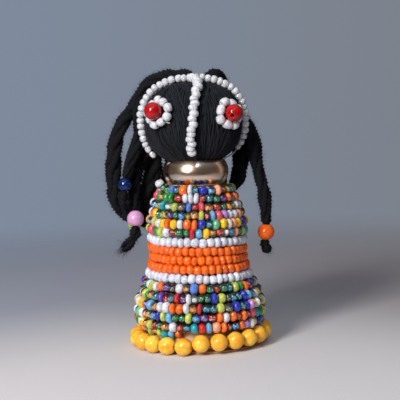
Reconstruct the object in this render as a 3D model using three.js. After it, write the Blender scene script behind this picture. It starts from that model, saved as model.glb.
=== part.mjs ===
// A small beaded doll. Its body is a cone wound with one long strand of glass beads, a gold-coloured
// band is its neck, and its head is a ball wound with black wool, with a beaded face and wool locks.
// Sizes are in millimetres and +Z is up. The face looks along -Y, and +X is at the viewer's right.
// The origin is the point of the ground below the middle of the body.

import * as THREE from "three";
import { mergeVertices } from "three/addons/utils/BufferGeometryUtils.js";

// Driving dimensions

const gap = 0.3; // between pieces that touch

// The strand goes once round the body for each turn, and a whole number of turns is at the front.
// Its height at some numbers of turns, and the radius of its middle at some heights.
const strandHeight = [
  [0.5, 55.9],
  [6, 40.4],
  [7, 37],
  [11, 24.8],
  [12, 21.7],
  [15, 12.5],
  [16, 9.1],
  [17, 6.7],
];
const bodyRadius = [
  [6, 19.3],
  [7.2, 19.4],
  [9, 21.2],
  [15.6, 21.2],
  [24.8, 17.1],
  [31, 15.7],
  [43.3, 15.8],
  [56, 11.6],
];
// How far a small bead reaches out from the strand's middle: at its belly, where it meets the next bead
// on the strand, in the groove between two turns, and inwards. Its height is a share of the pitch.
const seedBead = { belly: 1.6, waist: 1.15, groove: 0.65, inner: 1.15, heightShare: 0.93, tallest: 3 };
const beadsPerFacet = 3; // the groove between two turns bends once every few beads
const lengthStepsPerTurn = 48; // how finely a strand's length is measured
const strands = [
  { name: "upper_mixed_strand", from: 0.79, to: 6.5, pitch: 2.3, finish: "mixed" },
  { name: "upper_white_strand", from: 6.5, to: 7.5, pitch: 2.32, finish: "white" },
  { name: "orange_strand", from: 7.5, to: 10.5, pitch: 2.32, finish: "orange" },
  { name: "lower_white_strand", from: 10.5, to: 11.5, pitch: 2.32, finish: "white" },
  { name: "lower_mixed_strand", from: 11.5, to: 16.95, pitch: 2.3, finish: "mixed" },
];

const core = {
  behindStrand: 1.75,
  top: 55.4,
  topRadius: 9.8,
  skirtRadius: 18.5,
  skirtHeight: 4.4,
  sides: 18,
};
const footDisc = { radius: 19.8, thickness: 0.8, x: 1.6, y: -0.5, sides: 24 };
// The foot beads lie higher where they stand on the disc, from their rise to their fall, in degrees.
const footBeads = {
  count: 23,
  radius: 2.95,
  waist: 1.3,
  ringRadius: 22.1,
  onGround: 3.05,
  onDisc: 4.1,
  rise: [-14, 2],
  fall: [160, 180],
  sides: 6,
};
const neckRing = { outer: 11.4, edge: 9.7, inner: 8.9, bottom: 55.9, top: 64.7, x: 0.3, sides: 24 };

const head = {
  centre: new THREE.Vector3(0, 0, 77.5),
  halfWidth: 16.6,
  halfDepth: 15.4,
  halfHeight: 13.6,
  halfHeightBelow: 14.4,
  exponent: 2.4,
  neckRadius: 8.5,
  sides: 18,
};

// The hairline runs between two angles from the top of the head, a little behind at its ends.
const hairline = {
  from: -131.5,
  to: 124,
  topY: -1.5,
  leftY: 2,
  rightY: 4.6,
  lift: 1.65,
  count: 37,
  radius: 1.4,
  waist: 0.85,
};
// The nose runs down the middle of the face. Its lean to one side is given at some elevations.
const nose = {
  leans: [[-38, -0.05], [-12, -0.05], [0, -0.005], [28, 0.05], [45, 0.12], [60, 0.12], [70, 0.04], [76, 0.01]],
  lift: 1.75,
  count: 20,
  radius: 1.55,
  waist: 0.95,
};
// A bore is the direction that an eye bead's hole runs in, as azimuth and elevation.
const eyes = [
  { name: "left", azimuth: -41.5, elevation: 12, bore: [-125, 25] },
  { name: "right", azimuth: 43, elevation: 7.5, bore: [-14, -17] },
];
const eyeLift = 3.5;
const flower = { count: 9, radius: 1.4, waist: 0.85, ringRadius: 4.2, lift: 1.65 };

const roundBead = { radius: 3, shoulder: 2.5, shoulderHeight: 1.6, bore: 1.25, end: 2.6, sides: 7 };
const yarnInBore = 0.7;

// Each lock starts on the head at root, follows the head to leave, then hangs through its points.
// Root and leave are azimuth and elevation in degrees, seen from the middle of the head.
const locks = [
  {
    name: "left_outer",
    root: [168, 72],
    leave: [-166, 70],
    lift: [1.4, 3.1],
    hang: [
      [-4.4, 8.2, 92.9],
      [-8.2, 9.6, 93.3],
      [-12.2, 10.2, 92.3],
      [-16.2, 10.6, 89.9],
      [-18.8, 10.8, 86.8],
      [-20.6, 10.6, 84],
      [-22.8, 9.6, 81],
      [-25.4, 7.2, 77],
      [-27.6, 5.4, 71.3],
      [-28.7, 4.6, 64],
      [-28.8, 4.8, 57],
      [-28.2, 5.2, 51.5],
      [-26.2, 5.8, 47.7],
    ],
    bead: [-22.2, 6.8, 41.9],
    beadRadius: 2.45,
    tail: [[-21.6, 8.4, 38.4], [-22, 9, 36.6]],
    girth: [1.2, 2.9, 2.3, 2.8, 2.6, 2.5, 2.4, 2.5, 2.6, 2.7, 2.8, 2.8, 2.9, 2.9, 2.5],
    knot: 1.6,
    finish: "limeBead",
  },
  {
    name: "left_middle",
    root: [-110, 68],
    leave: [-104, 19],
    lift: [1.8, 4, 4.5, 4.5, 3.7],
    hang: [[-18.9, 5.2, 79], [-19.2, 5.6, 73], [-21.2, 4, 67.3], [-23.3, 1.6, 61.8]],
    bead: [-24.6, 0.2, 56.4],
    beadRadius: 2.5,
    tail: [[-25.3, 0.1, 52], [-24.6, 1, 48]],
    girth: [1.3, 2.4, 2.4, 2.4, 2.3, 2.2, 2.2, 2.2, 1.6],
    knot: 2.2,
    finish: "blueBead",
  },
  {
    name: "left_inner",
    root: [-122, -12],
    leave: [-118, -26],
    lift: [1.6, 2.6],
    hang: [[-17.8, 8.6, 66], [-20.4, 7.2, 61.5], [-21.6, 5.6, 56], [-21.9, 4.6, 51.5]],
    bead: [-21.4, 0.8, 44.3],
    tail: [[-21.8, 0.2, 39], [-23.4, 0.2, 36.3], [-26.4, 0, 33.5]],
    girth: [1.2, 2.2, 2.4, 2.4, 2.3, 2.1],
    knot: 2.3,
    finish: "lilacBead",
  },
  {
    name: "left_back",
    root: [-150, 22],
    leave: [-140, -14],
    lift: [2, 3],
    hang: [
      [-14.2, 13.4, 67],
      [-14.7, 12.4, 61.8],
      [-16.1, 11.6, 56.8],
      [-17.4, 10.8, 51.9],
      [-18.3, 10.4, 46.9],
      [-18.8, 10.6, 40.4],
    ],
    girth: [1.2, 2.3, 2.7, 2.9, 3.2, 3.2, 3.1, 2.8, 1.3],
  },
  {
    name: "back_left",
    root: [-170, 34],
    leave: [-162, -16],
    lift: [2, 2.8],
    hang: [[-8, 18, 66], [-9.6, 17.8, 60.5], [-11.4, 17.6, 54]],
    bead: [-12.6, 18, 46],
    tail: [[-12.8, 18.6, 41.4], [-13.2, 18.8, 38.4]],
    girth: [1.2, 2.1, 2.2, 2.2, 2.1, 1.5],
    knot: 1.7,
    finish: "yellowBead",
  },
  {
    name: "back_middle",
    root: [176, 46],
    leave: [178, -20],
    lift: [2, 2.6],
    hang: [[0.8, 18.4, 66], [1.2, 18.2, 58]],
    bead: [1.4, 20.4, 45],
    tail: [[1.4, 21, 40.4], [1.2, 21.3, 37.4]],
    girth: [1.2, 2.1, 2.3, 2.3, 2.2, 1.5],
    knot: 1.7,
    finish: "redBead",
  },
  {
    name: "back_right",
    root: [158, 34],
    leave: [156, -16],
    lift: [2, 2.6],
    hang: [[8.4, 17.4, 66], [9.4, 16.4, 59]],
    bead: [10.4, 17.6, 49],
    tail: [[10.8, 18, 44.4], [10.8, 18.6, 41.4]],
    girth: [1.2, 2.1, 2.2, 2.2, 2.1, 1.5],
    knot: 1.7,
    finish: "blueBead",
  },
  {
    name: "right_inner",
    root: [139, 6],
    leave: [130, -12],
    lift: [2, 3.4],
    hang: [[16.2, 10.8, 68], [16.5, 10, 63.9], [16, 9.7, 60.3], [15.1, 9.9, 56.8], [12.9, 10.8, 52.8]],
    girth: [1.2, 2.6, 3, 3.1, 3, 2.9, 2.6, 1.4],
  },
  {
    name: "right_outer",
    root: [147, 65],
    leave: [120, 60],
    lift: [1.3, 3.2],
    hang: [
      [9.8, 8, 91.8],
      [12.2, 11.2, 88.2],
      [14.8, 12, 83.8],
      [17, 10.6, 79.3],
      [19.1, 7.8, 75],
      [20.7, 5.6, 70.5],
      [21.3, 4.7, 66],
      [21.8, 4.2, 62],
      [22.8, 4, 57.6],
      [24, 4, 51.5],
      [24.5, 4, 44.5],
    ],
    bead: [24.4, 4, 37.7],
    tail: [[23.8, 4, 33.8], [25.1, 4, 30.4]],
    girth: [1.2, 2.8, 2.4, 2.3, 2.3, 2.3, 2.4, 2.6, 2.8, 2.6, 2, 2.2, 2.5, 2.4, 2.1],
    knot: 1.9,
    finish: "orangeBead",
  },
];
const lockSides = 6;
const stepOnHead = 16; // degrees between the points of a lock where it lies on the head
const neckDown = 1; // the length in which a lock narrows to enter a bore
const knotShape = [0.8, 1, 0.95, 0.25]; // shares of a knot's radius, down the tail

// Finishes

const finishes = {
  mixed: { color: 0x5f8f9f, roughness: 0.25, metalness: 0 },
  white: { color: 0xe9ebee, roughness: 0.25, metalness: 0 },
  orange: { color: 0xf4701e, roughness: 0.3, metalness: 0 },
  yellow: { color: 0xf5b62a, roughness: 0.3, metalness: 0 },
  redBead: { color: 0xd81420, roughness: 0.2, metalness: 0 },
  blueBead: { color: 0x0a2e8a, roughness: 0.2, metalness: 0 },
  lilacBead: { color: 0xd98fd0, roughness: 0.25, metalness: 0 },
  limeBead: { color: 0x8ccf3c, roughness: 0.25, metalness: 0 },
  yellowBead: { color: 0xf5b62a, roughness: 0.25, metalness: 0 },
  orangeBead: { color: 0xff6a1a, roughness: 0.25, metalness: 0 },
  band: { color: 0xcbb489, roughness: 0.2, metalness: 1 },
  wool: { color: 0x101014, roughness: 0.95, metalness: 0 },
  card: { color: 0xb98a66, roughness: 0.85, metalness: 0 },
};

const doll = new THREE.Group();

function addPiece(name, geometry, finish) {
  const mesh = new THREE.Mesh(geometry, new THREE.MeshStandardMaterial(finishes[finish]));
  mesh.name = name;
  doll.add(mesh);
  return mesh;
}

// Small helpers

const radians = THREE.MathUtils.degToRad;

// The value at x of a curve given by straight stretches between [x, value] stations.
function along(stations, x) {
  const last = stations.length - 1;
  const next = stations.findIndex(([at]) => at > x);
  if (next === 0) return stations[0][1];
  if (next < 0) return stations[last][1];
  const [x0, y0] = stations[next - 1];
  const [x1, y1] = stations[next];
  return THREE.MathUtils.mapLinear(x, x0, x1, y0, y1);
}

// The value at a fraction, from 0 to 1, of a list of evenly spaced values.
function evenly(values, fraction) {
  return along(values.map((value, i) => [i / (values.length - 1), value]), fraction);
}

// A direction by its azimuth, 0 at the front and 90 at +X, and its elevation, in degrees.
function direction(azimuth, elevation) {
  const [a, e] = [radians(azimuth), radians(elevation)];
  return new THREE.Vector3(Math.cos(e) * Math.sin(a), -Math.cos(e) * Math.cos(a), Math.sin(e));
}

function meshOf(points, triangles) {
  const geometry = new THREE.BufferGeometry();
  const places = points.flatMap((point) => point.toArray());
  geometry.setAttribute("position", new THREE.Float32BufferAttribute(places, 3));
  geometry.setIndex(triangles.flat());
  geometry.computeVertexNormals();
  return geometry;
}

// A closed skin over rings of points, which all have the same number of points.
function skinOver(rings, closed = false) {
  const sides = rings[0].length;
  const triangles = [];
  const index = (ring, side) => (ring % rings.length) * sides + (side % sides);
  const stretches = closed ? rings.length : rings.length - 1;
  for (let ring = 0; ring < stretches; ring++)
    for (let side = 0; side < sides; side++) {
      const [a, b] = [index(ring, side), index(ring, side + 1)];
      const [c, d] = [index(ring + 1, side + 1), index(ring + 1, side)];
      triangles.push([a, b, c], [a, c, d]);
    }
  if (!closed)
    for (let side = 1; side < sides - 1; side++) {
      triangles.push([index(0, 0), index(0, side + 1), index(0, side)]);
      const last = rings.length - 1;
      triangles.push([index(last, 0), index(last, side), index(last, side + 1)]);
    }
  return meshOf(rings.flat(), triangles);
}

// A ring of points round a curve. Its first point lies towards the direction across.
function ringAround(curve, at, radius, sides, across) {
  const tangent = curve.getTangentAt(at);
  const u = across.clone().addScaledVector(tangent, -across.dot(tangent)).normalize();
  const v = new THREE.Vector3().crossVectors(tangent, u);
  const middle = curve.getPointAt(at);
  return Array.from({ length: sides }, (_, i) => {
    const angle = (2 * Math.PI * i) / sides;
    const [alongU, alongV] = [radius * Math.cos(angle), radius * Math.sin(angle)];
    return middle.clone().addScaledVector(u, alongU).addScaledVector(v, alongV);
  });
}

function curveThrough(pointAt, samples, closed = false) {
  const points = Array.from({ length: closed ? samples : samples + 1 }, (_, i) => pointAt(i / samples));
  return new THREE.CatmullRomCurve3(points, closed, "centripetal");
}

// Beads threaded side by side along a curve. Each bead bulges once, or twice where it is long.
function threadedBeads(curve, bead, across, bulges = [0.5], sides = 4) {
  const rings = [];
  const addRing = (place, radius) => {
    rings.push(ringAround(curve, place / bead.count, radius, sides, across));
  };
  for (let i = 0; i < bead.count; i++) {
    addRing(i, bead.waist);
    for (const bulge of bulges) addRing(i + bulge, bead.radius);
  }
  if (!curve.closed) addRing(bead.count, bead.waist);
  return skinOver(rings, curve.closed);
}

// A round bead with a bore along +Z. A smaller bead has the same bore.
function boredBead(radius = roundBead.radius) {
  const size = radius / roundBead.radius;
  const [shoulder, shoulderHeight] = [roundBead.shoulder * size, roundBead.shoulderHeight * size];
  const [bore, end] = [roundBead.bore, roundBead.end * size];
  const lower = [[bore, -end], [shoulder, -shoulderHeight]];
  const upper = [[shoulder, shoulderHeight], [bore, end]];
  return closedLathe([...lower, [radius, 0], ...upper, lower[0]], roundBead.sides);
}

// A solid of revolution round +Z, from a profile of [radius, height] points.
function closedLathe(profile, sides) {
  const lathe = new THREE.LatheGeometry(profile.map(([r, z]) => new THREE.Vector2(r, z)), sides);
  lathe.rotateX(Math.PI / 2);
  lathe.deleteAttribute("normal");
  lathe.deleteAttribute("uv");
  const merged = mergeVertices(lathe, 1e-4);
  merged.computeVertexNormals();
  return merged;
}

// Body: strands, core and foot

// The middle of the strand at a number of turns, moved outwards and up.
function onStrand(turn, outwards = 0, up = 0) {
  const height = along(strandHeight, turn);
  const radius = along(bodyRadius, height) + outwards;
  const angle = 2 * Math.PI * turn;
  return new THREE.Vector3(radius * Math.sin(angle), -radius * Math.cos(angle), height + up);
}

// Turns at equal steps of length along the strand, a whole number of beads from end to end.
function beadTurns(from, to, pitch) {
  const steps = Math.ceil((to - from) * lengthStepsPerTurn);
  const lengths = [[0, from]];
  for (let i = 1; i <= steps; i++) {
    const turn = THREE.MathUtils.lerp(from, to, i / steps);
    const step = onStrand(turn).distanceTo(onStrand(lengths[i - 1][1]));
    lengths.push([lengths[i - 1][0] + step, turn]);
  }
  const total = lengths[steps][0];
  const count = Math.round(total / pitch);
  return { count, turnAt: (bead) => along(lengths, (bead * total) / count) };
}

// The fall of the strand in one turn. The first and last turns go on as they are.
function turnPitch(turn) {
  const [first, last] = [strandHeight[0][0], strandHeight.at(-1)[0]];
  const middle = THREE.MathUtils.clamp(turn, first + 0.5, last - 0.5);
  return along(strandHeight, middle - 0.5) - along(strandHeight, middle + 0.5);
}

function strandGeometry({ from, to, pitch }) {
  const endGap = gap / 2 / (2 * Math.PI * along(bodyRadius, along(strandHeight, from)));
  const { count, turnAt } = beadTurns(from + endGap, to - endGap, pitch);
  const points = [];
  const edge = (step, outwards, side) => {
    const turns = Array.from({ length: Math.floor(count / step) + 1 }, (_, i) => i * step);
    if (turns.at(-1) < count) turns.push(count);
    return turns.map((bead) => {
      const turn = turnAt(bead);
      const height = seedBead.heightShare * Math.min(turnPitch(turn), seedBead.tallest);
      points.push(onStrand(turn, outwards(bead), (side * height) / 2));
      return [bead, points.length - 1];
    });
  };
  const outer = (bead) => (Number.isInteger(bead) ? seedBead.waist : seedBead.belly);
  const edges = [
    edge(beadsPerFacet, () => seedBead.groove, 1),
    edge(0.5, outer, 0),
    edge(beadsPerFacet, () => seedBead.groove, -1),
    edge(beadsPerFacet, () => -seedBead.inner, 0),
  ];
  const triangles = edges.flatMap((a, i) => stripBetween(a, edges[(i + 1) % edges.length]));
  const [s, e] = [edges.map((one) => one[0][1]), edges.map((one) => one.at(-1)[1])];
  triangles.push([s[0], s[2], s[1]], [s[0], s[3], s[2]], [e[0], e[1], e[2]], [e[0], e[2], e[3]]);
  return meshOf(points, triangles);
}

// Triangles between two edges whose points, as [place, index], are spaced differently.
function stripBetween(a, b) {
  const triangles = [];
  let [i, j] = [0, 0];
  while (i < a.length - 1 || j < b.length - 1) {
    const advanceA = j === b.length - 1 || (i < a.length - 1 && a[i + 1][0] <= b[j + 1][0]);
    if (advanceA) triangles.push([a[i][1], b[j][1], a[++i][1]]);
    else triangles.push([a[i][1], b[j][1], b[++j][1]]);
  }
  return triangles;
}

for (const strand of strands) addPiece(strand.name, strandGeometry(strand), strand.finish);

function coreGeometry() {
  const foot = footDisc.thickness + gap;
  const wall = bodyRadius
    .filter(([height]) => height < core.top)
    .map(([height, radius]) => [radius - core.behindStrand, height]);
  const profile = [[0, foot], [core.skirtRadius, foot], [core.skirtRadius, core.skirtHeight]];
  return closedLathe([...profile, ...wall, [core.topRadius, core.top], [0, core.top]], core.sides);
}

addPiece("body_core", coreGeometry(), "card");

const { radius: discRadius, thickness: discThickness } = footDisc;
const disc = new THREE.CylinderGeometry(discRadius, discRadius, discThickness, footDisc.sides);
const footMesh = addPiece("foot_disc", disc.rotateX(Math.PI / 2), "card");
footMesh.position.set(footDisc.x, footDisc.y, discThickness / 2);

// The foot beads stand on the ground at the left, and on the edge of the disc at the right.
function footBeadHeight(angle) {
  const past = ([from, to]) => THREE.MathUtils.smoothstep(angle, from, to);
  const onDisc = past(footBeads.rise) - past(footBeads.fall);
  return THREE.MathUtils.lerp(footBeads.onGround, footBeads.onDisc, onDisc);
}

const footCurve = curveThrough((t) => {
  const angle = t * 360 - 180;
  const middle = direction(angle, 0).multiplyScalar(footBeads.ringRadius);
  return middle.setZ(footBeadHeight(angle));
}, 2 * footBeads.count, true);
const upwards = new THREE.Vector3(0, 0, 1);
const footRing = threadedBeads(footCurve, footBeads, upwards, [0.3, 0.7], footBeads.sides);
addPiece("foot_beads", footRing, "yellow");

// Neck ring: a band with a flat inside and a rounded outside

function neckRingGeometry() {
  const { outer, edge, inner, bottom, top, sides } = neckRing;
  const middle = (bottom + top) / 2;
  const half = (top - bottom) / 2;
  const profile = [[inner, bottom]];
  for (const up of [-1, -0.6, 0, 0.6, 1]) {
    profile.push([outer - (outer - edge) * up ** 2, middle + half * up]);
  }
  profile.push([inner, top], [inner, bottom]);
  return closedLathe(profile, sides);
}

addPiece("neck_ring", neckRingGeometry(), "band").position.x = neckRing.x;

// Head

// The point of the head in a direction from its middle, lifted off its surface.
function onHead(towards, lift = 0) {
  const d = towards.clone().normalize();
  const halfHeight = d.z < 0 ? head.halfHeightBelow : head.halfHeight;
  const parts = [d.x / head.halfWidth, d.y / head.halfDepth, d.z / halfHeight];
  const sum = parts.reduce((total, part) => total + Math.abs(part) ** head.exponent, 0);
  return d.multiplyScalar(sum ** (-1 / head.exponent) + lift).add(head.centre);
}

function headGeometry() {
  const level = (elevation) =>
    Array.from({ length: head.sides }, (_, i) => onHead(direction((i * 360) / head.sides, elevation)));
  const neck = (height) =>
    Array.from({ length: head.sides }, (_, i) => {
      const across = direction((i * 360) / head.sides, 0).multiplyScalar(head.neckRadius);
      return across.setZ(height).add(new THREE.Vector3(neckRing.x, 0, 0));
    });
  const rings = [neck(core.top + gap), neck(neckRing.top)];
  for (const elevation of [-50, -38, -24, -8, 8, 24, 40, 55, 70, 84]) rings.push(level(elevation));
  return skinOver(rings);
}

addPiece("head", headGeometry(), "wool");

// The hairline goes over the head from the lower left to the lower right, a little behind its middle.
const hairlineCurve = curveThrough((t) => {
  const angle = THREE.MathUtils.lerp(hairline.from, hairline.to, t);
  const sweep = Math.sin(radians(angle) / 2) / Math.sin(radians(hairline.to) / 2); // 0 at the top
  const y = THREE.MathUtils.lerp(hairline.topY, angle < 0 ? hairline.leftY : hairline.rightY, sweep ** 2);
  const slant = y / (head.halfWidth + hairline.lift);
  const towards = new THREE.Vector3(Math.sin(radians(angle)), slant, Math.cos(radians(angle)));
  return onHead(towards, hairline.lift);
}, 32);
addPiece("hairline_beads", threadedBeads(hairlineCurve, hairline, new THREE.Vector3(0, 1, 0)), "white");

const noseCurve = curveThrough((t) => {
  const elevation = THREE.MathUtils.lerp(nose.leans.at(-1)[0], nose.leans[0][0], t);
  const towards = direction(0, elevation).setX(along(nose.leans, elevation));
  return onHead(towards, nose.lift);
}, 24);
addPiece("nose_beads", threadedBeads(noseCurve, nose, new THREE.Vector3(1, 0, 0)), "white");

for (const eye of eyes) {
  const outwards = direction(eye.azimuth, eye.elevation);
  const side = upwards.clone().cross(outwards).normalize();
  const up = new THREE.Vector3().crossVectors(outwards, side);
  const middle = onHead(outwards).sub(head.centre);
  const ring = curveThrough((t) => {
    const angle = 2 * Math.PI * t;
    const across = side.clone().multiplyScalar(Math.cos(angle)).addScaledVector(up, Math.sin(angle));
    return onHead(middle.clone().addScaledVector(across, flower.ringRadius), flower.lift);
  }, 30, true);
  addPiece(eye.name + "_eye_flower", threadedBeads(ring, flower, outwards), "white");
  const bead = addPiece(eye.name + "_eye_bead", boredBead(), "redBead");
  bead.position.copy(onHead(outwards, eyeLift));
  bead.quaternion.setFromUnitVectors(upwards, direction(...eye.bore));
}

// Wool locks, most of them with a bead near the end and a knotted tail below it

function lockCurve(lock) {
  const start = direction(...lock.root);
  const end = direction(...lock.leave);
  const steps = Math.max(1, Math.round(start.angleTo(end) / radians(stepOnHead)));
  const points = [];
  for (let i = 0; i <= steps; i++) {
    const towards = new THREE.Vector3().lerpVectors(start, end, i / steps);
    points.push(onHead(towards, evenly(lock.lift, i / steps)));
  }
  const below = lock.bead ? [lock.bead, ...lock.tail] : [];
  for (const point of [...lock.hang, ...below]) points.push(new THREE.Vector3(...point));
  return new THREE.CatmullRomCurve3(points, false, "centripetal");
}

// The length from a lock's root to its bead.
function lengthToBead(lock, curve) {
  const divisions = 400;
  const last = curve.points.length - 1;
  const share = (last - lock.tail.length) / last;
  return curve.getLengths(divisions)[Math.round(share * divisions)];
}

function addLock(lock) {
  const curve = lockCurve(lock);
  const total = curve.getLength();
  const across = new THREE.Vector3(...(lock.name.startsWith("back") ? [1, 0, 0] : [0, 1, 0]));
  const rings = [];
  const addRing = (length, radius) => {
    rings.push(ringAround(curve, length / total, radius, lockSides, across));
  };
  const addStretch = (from, to, girth, steps) => {
    for (let i = 0; i <= steps; i++)
      addRing(THREE.MathUtils.lerp(from, to, i / steps), evenly(girth, i / steps));
  };
  const steps = lock.girth.length;
  if (lock.bead) {
    const middle = lengthToBead(lock, curve);
    const beadRadius = lock.beadRadius ?? roundBead.radius;
    const clear = (roundBead.end * beadRadius) / roundBead.radius + gap;
    addStretch(0, middle - clear - neckDown, lock.girth, steps);
    addRing(middle - clear, yarnInBore);
    addRing(middle + clear, yarnInBore);
    const knot = knotShape.map((share) => share * lock.knot);
    addStretch(middle + clear + neckDown, total, knot, knot.length - 1);
    const bead = addPiece(lock.name + "_lock_bead", boredBead(beadRadius), lock.finish);
    bead.position.copy(curve.getPointAt(middle / total));
    bead.quaternion.setFromUnitVectors(upwards, curve.getTangentAt(middle / total));
  } else addStretch(0, total, lock.girth, steps);
  addPiece(lock.name + "_lock", skinOver(rings), "wool");
}

locks.forEach(addLock);

export default doll;
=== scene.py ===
# A small beaded doll: strands of glass beads on a cone, a gold-coloured band as its neck,
# and a wool-wound head with a beaded face and hanging locks. Sizes are in millimetres
# here, the face looks along -Y, and names follow the viewer's left and right.
import math

import bmesh
import bpy
import numpy as np
from mathutils import Matrix, Vector


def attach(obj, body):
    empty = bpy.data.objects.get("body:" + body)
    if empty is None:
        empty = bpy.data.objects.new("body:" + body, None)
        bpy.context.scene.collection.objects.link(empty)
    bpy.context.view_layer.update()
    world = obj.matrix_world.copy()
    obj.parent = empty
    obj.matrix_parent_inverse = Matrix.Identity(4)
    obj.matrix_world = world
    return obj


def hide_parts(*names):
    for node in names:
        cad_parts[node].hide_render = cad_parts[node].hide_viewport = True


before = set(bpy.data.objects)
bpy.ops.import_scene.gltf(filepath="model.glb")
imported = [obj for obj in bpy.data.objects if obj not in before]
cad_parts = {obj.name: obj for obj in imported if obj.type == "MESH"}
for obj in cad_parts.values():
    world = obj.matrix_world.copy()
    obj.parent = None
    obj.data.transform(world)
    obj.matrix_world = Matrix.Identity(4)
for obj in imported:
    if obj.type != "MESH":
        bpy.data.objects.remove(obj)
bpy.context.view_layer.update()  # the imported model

mm = 0.001
upwards = np.array([0.0, 0.0, 1.0])


# Colours and small maths

def colourOf(code):  # "#rrggbb" as the linear colour that a shader takes
    parts = [int(code[i:i + 2], 16) / 255 for i in (1, 3, 5)]
    linear = [p / 12.92 if p <= 0.04045 else ((p + 0.055) / 1.055) ** 2.4 for p in parts]
    return (*linear, 1.0)


def direction(azimuth, elevation):  # azimuth 0 is the front and 90 is +X, in degrees
    a, e = np.radians(azimuth), np.radians(elevation)
    return np.stack([np.cos(e) * np.sin(a), -np.cos(e) * np.cos(a), np.sin(e) + 0 * a], axis=-1)


def unit(vectors):
    return vectors / np.linalg.norm(vectors, axis=-1, keepdims=True)


def reachAlong(route):  # the length of a route up to each of its points
    steps = np.linalg.norm(np.diff(route, axis=0), axis=1)
    return np.concatenate([[0], np.cumsum(steps)])


def pointsAt(route, reach):  # points at given lengths along a route
    lengths = reachAlong(route)
    return np.stack([np.interp(reach, lengths, route[:, axis]) for axis in range(3)], axis=-1)


stretchSteps = 14  # how many points a smooth route has for each point that it is given by


def smoothRoute(points):  # a centripetal Catmull-Rom curve through points
    points = np.array(points, dtype=float)
    ends = [2 * points[0] - points[1], 2 * points[-1] - points[-2]]
    p = np.vstack([ends[0], points, ends[1]])
    share = np.linspace(0, 1, stretchSteps, endpoint=False)[:, None]
    stretches = []
    for a, b, c, d in zip(p, p[1:], p[2:], p[3:]):
        before, here, after = (np.linalg.norm(q - r) ** 0.5 for q, r in ((a, b), (b, c), (c, d)))
        out = ((b - a) / before - (c - a) / (before + here) + (c - b) / here) * here
        into = ((c - b) / here - (d - b) / (here + after) + (d - c) / after) * here
        square, cube = share ** 2, share ** 3
        stretches.append(b * (2 * cube - 3 * square + 1) + out * (cube - 2 * square + share)
                         + c * (3 * square - 2 * cube) + into * (cube - square))
    return np.vstack([*stretches, points[-1:]])


def easeBetween(values, low, high):
    share = np.clip((values - low) / (high - low), 0, 1)
    return share * share * (3 - 2 * share)


def newObject(name, data):
    made = bpy.data.objects.new(name, data)
    bpy.context.scene.collection.objects.link(made)
    return made


# Camera

camera = {"place": (1.43, -375, 82), "pitch": -4.85, "roll": -2, "lens": 96.9, "clip": (0.01, 20)}


def makeCamera():
    data = bpy.data.cameras.new("camera")
    data.lens = camera["lens"]
    data.clip_start, data.clip_end = camera["clip"]
    seen = newObject("camera", data)
    turn = Matrix.Rotation(math.radians(90 + camera["pitch"]), 4, "X")
    roll = Matrix.Rotation(math.radians(camera["roll"]), 4, "Z")
    seen.matrix_world = Matrix.Translation(Vector(camera["place"]) * mm) @ turn @ roll
    bpy.context.scene.camera = seen


makeCamera()


# Node trees

def pick(sockets, key):  # a socket by its place or name, past those that are switched off
    if isinstance(key, int):
        return sockets[key]
    return next(socket for socket in sockets if socket.name == key and socket.enabled)


class Wire:  # an output of a node, so that maths on it reads as arithmetic
    def __init__(self, board, socket):
        self.board = board
        self.socket = socket

    def __getitem__(self, name):  # another output of the same node
        return Wire(self.board, pick(self.socket.node.outputs, name))

    def maths(self, operation, *values):
        return self.board.add("ShaderNodeMath", dict(enumerate(values)), operation=operation)

    def __add__(self, value):
        return self.maths("ADD", self, value)

    def __sub__(self, value):
        return self.maths("SUBTRACT", self, value)

    def __rsub__(self, value):
        return self.maths("SUBTRACT", value, self)

    def __mul__(self, value):
        return self.maths("MULTIPLY", self, value)

    def __truediv__(self, value):
        return self.maths("DIVIDE", self, value)

    def __rtruediv__(self, value):
        return self.maths("DIVIDE", value, self)

    def __pow__(self, value):
        return self.maths("POWER", self, value)

    def __gt__(self, value):
        return self.maths("GREATER_THAN", self, value)

    def __abs__(self):
        return self.maths("ABSOLUTE", self)

    __radd__ = __add__
    __rmul__ = __mul__


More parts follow.
